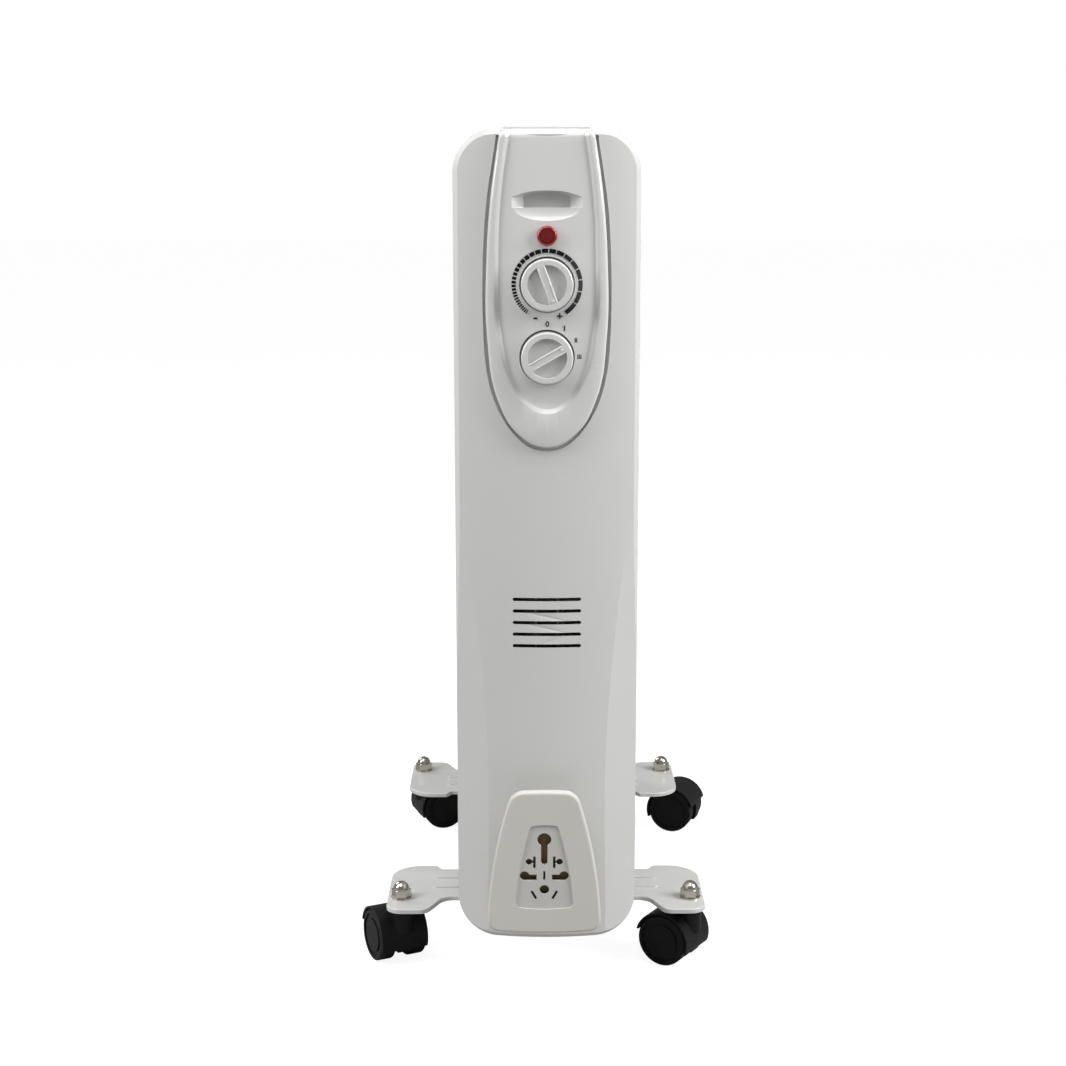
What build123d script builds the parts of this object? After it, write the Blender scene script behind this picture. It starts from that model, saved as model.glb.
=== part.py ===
"""Oil filled radiator heater: nine welded fins, a steel control box and two feet on twin-wheel casters.

Frame: X to the right seen from the front, Y from the front to the back, Z up.
The origin is on the floor, midway between the two feet. Millimetres and degrees.
"""
import os
from build123d import *

os.makedirs("parts", exist_ok=True)

# --- Driving dimensions -----------------------------------------------------------------------
# Feet and floor
PLATE_TOP = 53.0  # top of both foot plates above the floor
PLATE_SHEET = 1.6
SKIRT = 3.6  # height of the down-turned edge of a foot plate
STEM_X = 111.9  # caster stems, left and right of the middle
STEM_Y = 160.0  # caster stems, in front of and behind the middle

# Fins
FIN_COUNT = 9
FIN_PITCH = 36.5
FIN_WIDTH = 128.0
FIN_HEIGHT = 578.0
FIN_CORNER = 28.0
FIN_SHEET = 0.6  # one pressed sheet; a fin is two of them
CHANNEL_RISE = 4.5  # how far an oil channel stands out of the fin's middle plane
HEADER_INSET = 45.0  # headers, from the ends of the fin
NECK_R = 19.0

# Control box cover
COVER_WIDTH = 130.0
COVER_BOTTOM = 52.3
COVER_TOP = 633.6
COVER_CORNER = 29.0
FACE_Y = -240.0  # crest of the crowned front face
COVER_REAR = -164.0
CROWN_R = 190.0  # plan radius of the crowned face
WALL = 1.2
RIM_BEVEL = 3.6
FACET_X = 42.0  # lower edge of the side facets, on the face

# Control panel
PANEL_TOP = 629.4
PANEL_PROUD = 4.0
PANEL_POCKET = 3.0  # depth of the pocket in the cover that the panel sits in
GROOVE = 2.6  # gap between the panel and the pocket's wall
INSERT_STEP = 2.5
THERMOSTAT_Z = 528.8
SELECTOR_Z = 478.9
PILOT_Z = 561.8
KNOB_R = 18.0
KNOB_HOLE_R = 19.1
KNOB_FRONT = -252.0
SPINDLE_R = 3.0

# Cord wrap
WRAP_X = -2.0
WRAP_FRONT = -264.0
WRAP_FLANGE = 5.0

# Casters
WHEEL_R = 20.0
WHEEL_INNER = 6.3  # inner face of a wheel, from the caster's middle
WHEEL_OUTER = 19.0
TRAIL = 15.0
HOOD_R = 22.5
HOOD_SHEET = 1.7
WEB_HALF = 5.5
STEM_R = 4.0
AXLE_R = 2.5
RUNNING_GAP = 0.06

# Worked out from the above
FIN_BOTTOM = PLATE_TOP
FIN_MID_Z = FIN_BOTTOM + FIN_HEIGHT / 2
LOWER_HEADER_Z = FIN_BOTTOM + HEADER_INSET
UPPER_HEADER_Z = FIN_BOTTOM + FIN_HEIGHT - HEADER_INSET
FIRST_FIN_Y = -FIN_PITCH * (FIN_COUNT - 1) / 2
FOOT_Y = FIN_PITCH * (FIN_COUNT - 2) / 2  # feet sit under the first and the last gap
COVER_HEIGHT = COVER_TOP - COVER_BOTTOM
COVER_MID_Z = (COVER_TOP + COVER_BOTTOM) / 2
COVER_DEPTH = COVER_REAR - FACE_Y
BACK_PLATE_REAR = COVER_REAR - 0.8
BACK_PLATE_FRONT = BACK_PLATE_REAR - WALL
PLATE_UNDER = PLATE_TOP - PLATE_SHEET


def front(y):
    """Upright plane at depth y: sketch X and Z, and extrude towards the front."""
    return Plane.XZ.offset(-y)


def finish(builder, name):
    """Label a finished piece and write its file."""
    builder.part.label = name
    export_step(builder.part, f"parts/{name}.step")


def crown_block(inset):
    """Tall round block whose front is the crowned face, moved back by the inset."""
    with BuildPart() as block:
        with BuildSketch(Plane.XY):
            with Locations((0, FACE_Y + CROWN_R)):
                Circle(CROWN_R - inset)
        extrude(amount=COVER_TOP + 20)
    return block.part


def crown_y(x):
    """Depth of the crowned face at this distance from the middle, as a parabola."""
    return FACE_Y + x**2 / (2 * CROWN_R)


def rod(y_front, y_rear, x, z, radius, mode=Mode.ADD):
    """Round bar or hole along Y."""
    with Locations((x, (y_front + y_rear) / 2, z)):
        Cylinder(radius, y_rear - y_front, rotation=(90, 0, 0), mode=mode)


# --- Front cover ------------------------------------------------------------------------------
# One deep-drawn steel pan: crowned face, bevelled rim, and facets that widen down both sides.
FACET_SECTIONS = [  # height, x where the facet meets the face, slope of the facet
    (COVER_BOTTOM - 8, FACET_X, 0.50),
    (125.0, FACET_X, 0.50),
    (200.0, FACET_X + 0.6, 0.495),
    (260.0, 46.4, 0.475),
    (320.0, 52.3, 0.44),
    (375.0, 58.4, 0.39),
    (430.0, 62.6, 0.34),
]


def facet_cutter(inset):
    """Wedge that leaves the right-hand side facet when it is cut away."""
    outside_x = COVER_WIDTH / 2 + 2
    with BuildPart() as cutter:
        for z, x, slope in FACET_SECTIONS:
            edge_y = crown_y(x) + inset
            side_y = edge_y + slope * (outside_x - x)
            with BuildSketch(Plane.XY.offset(z)):
                with BuildLine():
                    Polyline((x, edge_y), (x, FACE_Y - 4), (outside_x, FACE_Y - 4), (outside_x, side_y), close=True)
                make_face()
        loft()
    return cutter.part


def cover_form(inset, crown, facet):
    """Solid block of the cover's outer shape, moved in by the inset."""
    with BuildPart() as form:
        with BuildSketch(front(COVER_REAR + inset)):
            with Locations((0, COVER_MID_Z)):
                RectangleRounded(COVER_WIDTH - 2 * inset, COVER_HEIGHT - 2 * inset, COVER_CORNER - inset)
        extrude(amount=COVER_DEPTH + inset)
        add(crown, mode=Mode.INTERSECT)
        rim = form.faces().sort_by(Axis.Y)[0].edges()
        chamfer(rim, length=RIM_BEVEL - 0.6 * inset)
        add(facet, mode=Mode.SUBTRACT)
        add(facet.mirror(Plane.YZ), mode=Mode.SUBTRACT)
    return form.part


PANEL_SIDE = [  # right side of the panel from top to apex: x, z, and the way outwards
    (32.2, PANEL_TOP, 1, 0),
    (38.3, 590, 1, 0),
    (41.6, 545, 1, 0),
    (41.4, 491, 1, 0),
    (34.3, 449, 0.91, -0.41),
    (18.6, 424, 0.55, -0.83),
    (0, 415.9, 0, -1),
]


def panel_outline(grow):
    """Long shield outline of the control panel, grown on every side but the top."""
    with BuildSketch() as outline:
        with BuildLine():
            points = [(x + grow * out_x, z + grow * out_z) for x, z, out_x, out_z in PANEL_SIDE]
            side = Spline(*points, tangents=[(0.13, -1), (-1, 0)])
            mirror(side, about=Plane.YZ)
            Line(points[0], (-points[0][0], points[0][1]))
        make_face()
    return outline.sketch


outer_form = cover_form(0, crown_block(0), facet_cutter(0))
inner_form = cover_form(WALL, crown_block(WALL), facet_cutter(WALL))
pocket_floor = crown_block(PANEL_POCKET)
pan_front = crown_block(WALL / 2)
pan_back = crown_block(PANEL_POCKET + WALL)

with BuildPart() as panel_pocket:
    with BuildSketch(front(COVER_REAR)):
        add(panel_outline(GROOVE))
    extrude(amount=COVER_DEPTH + 10)
    add(pocket_floor, mode=Mode.SUBTRACT)

with BuildPart() as pocket_pan:
    with BuildSketch(front(COVER_REAR)):
        add(panel_outline(GROOVE + WALL))
    extrude(amount=COVER_DEPTH + 10)
    add(pan_front, mode=Mode.INTERSECT)
    add(pan_back, mode=Mode.SUBTRACT)

WINDOW_X = 27.0
WINDOW_LOW = 449.0
WINDOW_HIGH = 599.0
SLOT_COUNT = 5
SLOT_PITCH = 8.45
SLOT_MID_Z = 290.2
SLOT_LENGTH = 48.6
SLOT_WIDTH = 2.6
LUG_X = 51.0
LUG_Z = [112.0, 560.0]
LUG_DEPTH = 6.0
SCREW_R = 2.0
GLAND_X = 30.0
GLAND_Y = -200.0
GLAND_BARREL_R = 7.0
WRAP_SCREW_Z = [100.0, 140.0]

with BuildPart() as front_cover:
    add(outer_form)
    add(inner_form, mode=Mode.SUBTRACT)
    add(pocket_pan.part)
    add(panel_pocket.part, mode=Mode.SUBTRACT)
    # Window behind the panel for the controls
    with BuildSketch(front(COVER_REAR)):
        with Locations((0, (WINDOW_LOW + WINDOW_HIGH) / 2)):
            RectangleRounded(2 * WINDOW_X, WINDOW_HIGH - WINDOW_LOW, 6)
    extrude(amount=COVER_DEPTH + 5, mode=Mode.SUBTRACT)
    # Vent slots
    with BuildSketch(front(COVER_REAR)):
        with Locations((0, SLOT_MID_Z)):
            with GridLocations(0, SLOT_PITCH, 1, SLOT_COUNT):
                SlotOverall(SLOT_LENGTH, SLOT_WIDTH)
    extrude(amount=COVER_DEPTH + 5, mode=Mode.SUBTRACT)
    # Screw holes for the cord wrap
    for z in WRAP_SCREW_Z:
        rod(FACE_Y - 2, FACE_Y + 10, WRAP_X, z, SCREW_R + 0.2, Mode.SUBTRACT)
    # Screw lugs at the open back, on the side walls
    lug_reach = COVER_WIDTH / 2 - WALL / 2 - LUG_X + 6
    for side in (-1, 1):
        for z in LUG_Z:
            with Locations((side * (LUG_X - 6 + lug_reach / 2), BACK_PLATE_FRONT - LUG_DEPTH / 2, z)):
                Box(lug_reach, LUG_DEPTH, 14)
            rod(BACK_PLATE_FRONT - LUG_DEPTH - 1, BACK_PLATE_FRONT + 1, side * LUG_X, z, SCREW_R, Mode.SUBTRACT)
    # Hole for the cord gland in the bottom wall
    with BuildSketch(Plane.XY.offset(COVER_BOTTOM - 2)):
        with Locations((GLAND_X, GLAND_Y)):
            Circle(GLAND_BARREL_R)
    extrude(amount=6, mode=Mode.SUBTRACT)
finish(front_cover, "front_cover")

# --- Back plate of the control box ------------------------------------------------------------
with BuildPart() as back_plate:
    with BuildSketch(front(BACK_PLATE_REAR)):
        with Locations((0, COVER_MID_Z)):
            RectangleRounded(COVER_WIDTH - 2 * WALL, COVER_HEIGHT - 2 * WALL, COVER_CORNER - WALL)
        with Locations((0, LOWER_HEADER_Z)):
            Circle(NECK_R, mode=Mode.SUBTRACT)
        with Locations(*[(side * LUG_X, z) for side in (-1, 1) for z in LUG_Z]):
            Circle(SCREW_R, mode=Mode.SUBTRACT)
    extrude(amount=WALL)
finish(back_plate, "back_plate")

# --- Screws of the control box and of the cord wrap -------------------------------------------
with BuildPart() as cover_screws:
    for side in (-1, 1):
        for z in LUG_Z:
            rod(BACK_PLATE_FRONT - LUG_DEPTH, BACK_PLATE_REAR, side * LUG_X, z, SCREW_R)
            rod(BACK_PLATE_REAR, BACK_PLATE_REAR + 2.2, side * LUG_X, z, 2 * SCREW_R)
    wrap_head_y = crown_y(WRAP_X - 2 * SCREW_R) + WALL + 0.1  # heads bear on the crowned wall
    for z in WRAP_SCREW_Z:
        rod(FACE_Y - 8, wrap_head_y, WRAP_X, z, SCREW_R)
        rod(wrap_head_y, wrap_head_y + 2.4, WRAP_X, z, 2 * SCREW_R)
finish(cover_screws, "cover_screws")

# --- Control panel ----------------------------------------------------------------------------
# Glossy moulding seated in the cover's pocket, with a sunken face and a finger recess.
GRIP_LOW = 571.5
GRIP_FLOOR = 580.7
GRIP_HIGH = 592.5
GRIP_HALF = 25.2
GRIP_DEPTH = 9.0
POST_X = 20.5
POST_Z = [456.0, 504.0, 551.0]
SWITCH_PLATE_FRONT = -233.0

panel_front = crown_block(-PANEL_PROUD)
insert_floor = crown_block(INSERT_STEP - PANEL_PROUD)

with BuildPart() as insert_pocket:
    with BuildSketch(front(FACE_Y + 20)):
        with BuildLine():
            insert_side = Spline(
                (24.9, PANEL_TOP + 1), (30.0, 597), (32.9, 550), (30.5, 491), (20.1, 458.8), (0, 443),
                tangents=[(0.1, -1), (-1, 0)],
            )
            mirror(insert_side, about=Plane.YZ)
            Line((24.9, PANEL_TOP + 1), (-24.9, PANEL_TOP + 1))
        make_face()
    extrude(amount=40)
    add(insert_floor, mode=Mode.SUBTRACT)

with BuildPart() as grip_hollow:
    grip_front = FACE_Y - PANEL_PROUD + INSERT_STEP - 1
    with BuildSketch(front(grip_front)):
        with BuildLine():
            ThreePointArc((-GRIP_HALF, 588), (0, GRIP_HIGH), (GRIP_HALF, 588))
            Line((GRIP_HALF, 588), (GRIP_HALF, GRIP_FLOOR))
            ThreePointArc((GRIP_HALF, GRIP_FLOOR), (0, GRIP_LOW), (-GRIP_HALF, GRIP_FLOOR))
            Line((-GRIP_HALF, GRIP_FLOOR), (-GRIP_HALF, 588))
        make_face()
    with BuildSketch(front(grip_front + GRIP_DEPTH)):
        with BuildLine():
            ThreePointArc((-16, 589), (0, GRIP_HIGH - 1), (16, 589))
            Line((16, 589), (16, GRIP_FLOOR))
            ThreePointArc((16, GRIP_FLOOR), (0, GRIP_FLOOR - 0.6), (-16, GRIP_FLOOR))
            Line((-16, GRIP_FLOOR), (-16, 589))
        make_face()
    loft()

with BuildPart() as control_panel:
    with BuildSketch(front(FACE_Y + 20)):
        add(panel_outline(0))
    extrude(amount=40)
    add(panel_front, mode=Mode.INTERSECT)
    add(pocket_floor, mode=Mode.SUBTRACT)
    fillet(control_panel.faces().sort_by(Axis.Y)[0].edges(), radius=2.4)
    add(insert_pocket.part, mode=Mode.SUBTRACT)
    # Cup behind the finger recess
    with BuildSketch(front(grip_front + GRIP_DEPTH + 2)):
        with Locations((0, (GRIP_LOW + GRIP_HIGH) / 2 + 0.5)):
            RectangleRounded(2 * WINDOW_X - 1, GRIP_HIGH - GRIP_LOW + 8, 5)
    extrude(amount=GRIP_DEPTH)
    add(grip_hollow.part, mode=Mode.SUBTRACT)
    # Openings for the knobs and the pilot lens
    for z in (THERMOSTAT_Z, SELECTOR_Z):
        rod(FACE_Y - 20, FACE_Y + 20, 0, z, KNOB_HOLE_R, Mode.SUBTRACT)
    rod(FACE_Y - 20, FACE_Y + 20, 0, PILOT_Z, 6.7, Mode.SUBTRACT)
    # Posts for the switch plate
    for side in (-1, 1):
        for z in POST_Z:
            rod(FACE_Y + 1, SWITCH_PLATE_FRONT, side * POST_X, z, 3.0)
finish(control_panel, "control_panel")

# --- Top trim ---------------------------------------------------------------------------------
TRIM_HALF = 31.0
TRIM_RISE = 2.0
with BuildPart() as top_trim:
    with BuildSketch(Plane.XY.offset(COVER_TOP)):
        with Locations((0, (FACE_Y + COVER_REAR) / 2)):
            RectangleRounded(2 * TRIM_HALF, 62, 3)
    extrude(amount=TRIM_RISE)
    fillet(top_trim.faces().sort_by(Axis.Z)[-1].edges(), radius=0.9)
    with BuildSketch(Plane.XY.offset(COVER_TOP + TRIM_RISE)):
        with Locations((-26.5, FACE_Y + 12), (26.5, FACE_Y + 12)):
            Circle(1.2)
    extrude(amount=-1.2, mode=Mode.SUBTRACT)
finish(top_trim, "top_trim")

# --- Switch plate, thermostat and rotary switch -----------------------------------------------
SWITCH_PLATE_REAR = SWITCH_PLATE_FRONT + 1.2
with BuildPart() as switch_plate:
    with BuildSketch(front(SWITCH_PLATE_REAR)):
        with Locations((0, sum(POST_Z) / 3)):
            RectangleRounded(50, 110, 4)
        with Locations((0, THERMOSTAT_Z), (0, SELECTOR_Z)):
            Circle(SPINDLE_R + 0.4, mode=Mode.SUBTRACT)
        with Locations((0, PILOT_Z - 0.5)):
            Rectangle(15, 20, mode=Mode.SUBTRACT)
    extrude(amount=1.2)
finish(switch_plate, "switch_plate")

FRAME_HALF_X = 12.0
FRAME_HALF_Z = 16.0
FRAME_REAR = -212.0
with BuildPart() as thermostat_frame:
    with BuildSketch(front(SWITCH_PLATE_REAR + 1.5)):
        with Locations((0, THERMOSTAT_Z)):
            Rectangle(2 * FRAME_HALF_X, 2 * FRAME_HALF_Z)
            Circle(SPINDLE_R + RUNNING_GAP, mode=Mode.SUBTRACT)
    extrude(amount=1.5)
    for side in (-1, 1):
        leg_mid_y = (SWITCH_PLATE_REAR + FRAME_REAR) / 2
        with Locations((side * (FRAME_HALF_X - 0.6), leg_mid_y, THERMOSTAT_Z)):
            Box(1.2, FRAME_REAR - SWITCH_PLATE_REAR, 2 * FRAME_HALF_Z)
finish(thermostat_frame, "thermostat_frame")

with BuildPart() as contact_block:
    with Locations((0, FRAME_REAR + 3, THERMOSTAT_Z)):
        Box(2 * FRAME_HALF_X, 6, 2 * FRAME_HALF_Z)
    fillet(contact_block.edges().filter_by(Axis.Y), radius=2)
finish(contact_block, "contact_block")

with BuildPart() as bimetal_strip:
    with Locations((0, FRAME_REAR + 6.4, THERMOSTAT_Z)):
        Box(7, 0.8, 30)
    with Locations((0, FRAME_REAR + 8, THERMOSTAT_Z - 12)):
        Box(7, 2.4, 5)
finish(bimetal_strip, "bimetal_strip")

SWITCH_REAR = -211.8
SWITCH_HALF = 17.0
with BuildPart() as switch_body:
    with BuildSketch(front(SWITCH_REAR)):
        with Locations((0, SELECTOR_Z)):
            RectangleRounded(2 * SWITCH_HALF, 2 * SWITCH_HALF, 3)
    extrude(amount=SWITCH_REAR - SWITCH_PLATE_REAR)
    rod(SWITCH_PLATE_REAR + 2.5, SWITCH_REAR - 3, 0, SELECTOR_Z, 10.2, Mode.SUBTRACT)
    rod(SWITCH_PLATE_REAR - 1, SWITCH_PLATE_REAR + 3, 0, SELECTOR_Z, SPINDLE_R + RUNNING_GAP, Mode.SUBTRACT)
finish(switch_body, "switch_body")

# --- Knobs and the shafts they turn -----------------------------------------------------------
SELECTOR_ANGLE = 60.0  # pointer position, clockwise from the top seen from the front
THERMOSTAT_ANGLE = 160.0
DISH_R = 13.6
BAR_WIDTH = 5.8
SPINDLE_FRONT = -246.0

for name, z, angle in (
    ("thermostat_knob", THERMOSTAT_Z, THERMOSTAT_ANGLE),
    ("selector_knob", SELECTOR_Z, SELECTOR_ANGLE),
):
    with BuildPart() as knob:
        rod(KNOB_FRONT, FACE_Y + 2, 0, z, KNOB_R)
        fillet(knob.faces().sort_by(Axis.Y)[0].edges(), radius=1.4)
        rod(KNOB_FRONT - 1, KNOB_FRONT + 3, 0, z, DISH_R, Mode.SUBTRACT)
        with BuildSketch(front(KNOB_FRONT + 3)):
            with Locations(Location((0, z), 90 - angle)):
                Rectangle(2 * DISH_R, BAR_WIDTH)
        extrude(amount=3)
        rod(SPINDLE_FRONT, FACE_Y + 4, 0, z, SPINDLE_R, Mode.SUBTRACT)
    finish(knob, name)

with BuildPart() as thermostat_spindle:
    rod(SPINDLE_FRONT, FRAME_REAR - 5, 0, THERMOSTAT_Z, SPINDLE_R)
    rod(SWITCH_PLATE_REAR + 3, SWITCH_PLATE_REAR + 6, 0, THERMOSTAT_Z, 6)
finish(thermostat_spindle, "thermostat_spindle")

with BuildPart() as switch_rotor:
    rod(SPINDLE_FRONT, SWITCH_PLATE_REAR + 4, 0, SELECTOR_Z, SPINDLE_R)
    rod(SWITCH_PLATE_REAR + 3, SWITCH_REAR - 3.5, 0, SELECTOR_Z, 9.8)
finish(switch_rotor, "switch_rotor")

# --- Pilot lamp -------------------------------------------------------------------------------
LENS_REAR = -228.0
with BuildPart() as pilot_lens:
    rod(FACE_Y - PANEL_PROUD, LENS_REAR, 0, PILOT_Z, 6.7)
    fillet(pilot_lens.faces().sort_by(Axis.Y)[0].edges(), radius=1.2)
    rod(FACE_Y - 1.5, LENS_REAR + 1, 0, PILOT_Z, 5.2, Mode.SUBTRACT)
finish(pilot_lens, "pilot_lens")

with BuildPart() as lamp_holder:
    rod(LENS_REAR, LENS_REAR + 3, 0, PILOT_Z, 6.7)
    rod(LENS_REAR - 1, LENS_REAR + 4, 0, PILOT_Z, 2.6, Mode.SUBTRACT)
finish(lamp_holder, "lamp_holder")

with BuildPart() as neon_lamp:
    rod(FACE_Y + 1, LENS_REAR + 5, 0, PILOT_Z, 2.6)
    fillet(neon_lamp.faces().sort_by(Axis.Y)[0].edges(), radius=2.2)
finish(neon_lamp, "neon_lamp")

# --- Cord wrap with the plug park -------------------------------------------------------------
# A flange on a hollow neck: the cord winds round the neck and the plug's pins park in the plate.
PARK_RECESS = 1.0
PARK_SHEET = 2.5
NECK_REAR = FACE_Y
FLANGE_REAR = WRAP_FRONT + WRAP_FLANGE


def flange_sketch():
    """Outline of the flange, corners rounded."""
    with BuildSketch() as outline:
        with BuildLine():
            ThreePointArc((23.0, 172.0), (33.4, 134), (41.0, 68.4))
            ThreePointArc((-23.0, 172.0), (-33.4, 134), (-41.0, 68.4))
            ThreePointArc((-23.0, 172.0), (0, 172.8), (23.0, 172.0))
            ThreePointArc((-41.0, 68.4), (0, 66.3), (41.0, 68.4))
        make_face()
        fillet(outline.vertices().group_by(Axis.Y)[-1], radius=12)
        fillet(outline.vertices().group_by(Axis.Y)[0], radius=9)
    return outline.sketch


def park_sketch(grow):
    """Outline of the plug park plate, grown on every side, corners rounded."""
    top_x, mid_x, low_x = 9.8 + grow, 15.6 + grow, 21.0 + grow
    top_z, mid_z, low_z = 147.4 + grow, 125.0, 86.6 - grow
    with BuildSketch() as outline:
        with BuildLine():
            ThreePointArc((top_x, top_z), (mid_x, mid_z), (low_x, low_z))
            ThreePointArc((-top_x, top_z), (-mid_x, mid_z), (-low_x, low_z))
            ThreePointArc((-top_x, top_z), (0, top_z + 0.8), (top_x, top_z))
            ThreePointArc((-low_x, low_z), (0, low_z - 1.7), (low_x, low_z))
        make_face()
        fillet(outline.vertices().group_by(Axis.Y)[-1], radius=4 + grow)
        fillet(outline.vertices().group_by(Axis.Y)[0], radius=3.5 + grow)
    return outline.sketch


flange_face = flange_sketch()
park_face = park_sketch(0)

with BuildPart() as cord_wrap:
    with BuildSketch(front(FLANGE_REAR)):
        with Locations((WRAP_X, 0)):
            add(flange_face)
    extrude(amount=WRAP_FLANGE)
    fillet(cord_wrap.faces().sort_by(Axis.Y)[0].edges(), radius=2.2)
    # Hollow neck, wide enough for the plate's holes to open into it
    with BuildSketch(front(NECK_REAR + 3)):
        with Locations((WRAP_X, 0)):
            add(park_sketch(2.0))
    extrude(amount=NECK_REAR + 3 - FLANGE_REAR)
    with BuildSketch(front(NECK_REAR - 3)):
        with Locations((WRAP_X, 0)):
            add(park_sketch(-0.5))
    extrude(amount=30, mode=Mode.SUBTRACT)
    with BuildSketch(front(WRAP_FRONT + PARK_RECESS + PARK_SHEET)):
        with Locations((WRAP_X, 0)):
            add(park_face)
    extrude(amount=10, mode=Mode.SUBTRACT)
    add(outer_form, mode=Mode.SUBTRACT)
    for z in WRAP_SCREW_Z:
        rod(FACE_Y - 20, FACE_Y + 5, WRAP_X, z, SCREW_R, Mode.SUBTRACT)
finish(cord_wrap, "cord_wrap")

with BuildPart() as plug_park_plate:
    with BuildSketch(front(WRAP_FRONT + PARK_RECESS + PARK_SHEET)):
        with Locations((WRAP_X, 0)):
            add(park_face)
        with Locations((WRAP_X, 136.8)):
            Circle(5.0, mode=Mode.SUBTRACT)
        with Locations((WRAP_X, 127.6)):
            SlotOverall(18.8, 4.6, rotation=90, mode=Mode.SUBTRACT)
        for side in (-1, 1):
            with Locations((WRAP_X + side * 10.9, 120.3)):
                Circle(2.4, mode=Mode.SUBTRACT)
            with Locations((WRAP_X + side * 7.1, 119.9)):
                Rectangle(1.8, 8.9, mode=Mode.SUBTRACT)
            with Locations((WRAP_X + side * 8.5, 120.3)):
                Rectangle(3.4, 2.0, mode=Mode.SUBTRACT)
            with Locations((WRAP_X + side * 14.1, 109.7)):
                Circle(3.5, mode=Mode.SUBTRACT)
            with Locations((WRAP_X + side * 9.8, 108.5)):
                Rectangle(8.6, 4.5, mode=Mode.SUBTRACT)
            with Locations(Location((WRAP_X + side * 7.45, 95.3), side * 60)):
                Rectangle(7.0, 1.9, mode=Mode.SUBTRACT)
        with Locations((WRAP_X, 110.0)):
            Rectangle(1.6, 6.7, mode=Mode.SUBTRACT)
        with Locations((WRAP_X, 99.4)):
            Circle(3.45, mode=Mode.SUBTRACT)
    extrude(amount=PARK_SHEET)
finish(plug_park_plate, "plug_park_plate")

# --- Cord gland in the bottom wall ------------------------------------------------------------
GLAND_BORE_R = 3.75
with BuildPart() as cord_gland:
    with BuildSketch(Plane.XY.offset(COVER_BOTTOM - 3)):
        with Locations((GLAND_X, GLAND_Y)):
            Circle(10)
    extrude(amount=3)
    with BuildSketch(Plane.XY.offset(COVER_BOTTOM - 3)):
        with Locations((GLAND_X, GLAND_Y)):
            Circle(GLAND_BARREL_R)
    extrude(amount=14)
    with BuildSketch(Plane.XY.offset(COVER_BOTTOM + WALL)):
        with Locations((GLAND_X, GLAND_Y)):
            RegularPolygon(9.5, 6)
    extrude(amount=5)
    with BuildSketch(Plane.XY.offset(COVER_BOTTOM - 5)):
        with Locations((GLAND_X, GLAND_Y)):
            Circle(GLAND_BORE_R)
    extrude(amount=20, mode=Mode.SUBTRACT)
finish(cord_gland, "cord_gland")

# --- Heating elements and their flange --------------------------------------------------------
ELEMENT_R = 4.25
HAIRPIN_HALF = 8.0
HAIRPIN_RISE = 7.0
ELEMENT_FRONT = -186.0
ELEMENT_TURN = 120.0
HEADER_FRONT = -168.0
GASKET_FRONT = HEADER_FRONT - 1.0
FLANGE_FRONT = GASKET_FRONT - 3.0

with BuildPart() as heating_elements:
    for z in (LOWER_HEADER_Z - HAIRPIN_RISE, LOWER_HEADER_Z + HAIRPIN_RISE):
        with BuildLine(Plane.XY.offset(z)) as hairpin:
            Line((-HAIRPIN_HALF, ELEMENT_FRONT), (-HAIRPIN_HALF, ELEMENT_TURN))
            ThreePointArc((-HAIRPIN_HALF, ELEMENT_TURN), (0, ELEMENT_TURN + HAIRPIN_HALF), (HAIRPIN_HALF, ELEMENT_TURN))
            Line((HAIRPIN_HALF, ELEMENT_TURN), (HAIRPIN_HALF, ELEMENT_FRONT))
        with BuildSketch(front(ELEMENT_FRONT)):
            with Locations((-HAIRPIN_HALF, z)):
                Circle(ELEMENT_R)
        sweep(path=hairpin.line)
        for x in (-HAIRPIN_HALF, HAIRPIN_HALF):
            rod(ELEMENT_FRONT - 6, ELEMENT_FRONT, x, z, 1.5)
finish(heating_elements, "heating_elements")

element_holes = [(x, z) for x in (-HAIRPIN_HALF, HAIRPIN_HALF)
                 for z in (LOWER_HEADER_Z - HAIRPIN_RISE, LOWER_HEADER_Z + HAIRPIN_RISE)]
with BuildPart() as element_flange:
    rod(FLANGE_FRONT, GASKET_FRONT, 0, LOWER_HEADER_Z, 24)
    with BuildSketch(front(FLANGE_FRONT)):
        with Locations((0, LOWER_HEADER_Z)):
            RegularPolygon(20, 6)
    extrude(amount=6)
    for x, z in element_holes:
        rod(FLANGE_FRONT - 8, GASKET_FRONT + 1, x, z, ELEMENT_R, Mode.SUBTRACT)
finish(element_flange, "element_flange")

with BuildPart() as element_gasket:
    rod(GASKET_FRONT, HEADER_FRONT, 0, LOWER_HEADER_Z, NECK_R)
    rod(GASKET_FRONT - 1, HEADER_FRONT + 1, 0, LOWER_HEADER_Z, NECK_R - FIN_SHEET, Mode.SUBTRACT)
finish(element_gasket, "element_gasket")

# --- Fins -------------------------------------------------------------------------------------
# Each fin is two pressed sheets welded round the edge, with a ring-shaped oil channel. Short
# necks at the two headers are welded to the next fin.
RING_WIDTH = 96.0
RING_HEIGHT = 556.0
RING_CORNER = 34.0
HEM = 3.0
HEM_HALF = 1.5  # half thickness of the rolled edge
PRESS_ROUND = 3.0  # outer rounding of the pressed channel


def ring_sketch(inset):
    """Front view of the oil channel, moved in by the sheet's thickness."""
    with BuildSketch() as ring:
        with Locations((0, FIN_MID_Z)):
            RectangleRounded(RING_WIDTH - 2 * inset, RING_HEIGHT - 2 * inset, RING_CORNER - inset)
            RectangleRounded(34 + 2 * inset, 416 + 2 * inset, 15 + inset, mode=Mode.SUBTRACT)
    return ring.sketch


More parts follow.
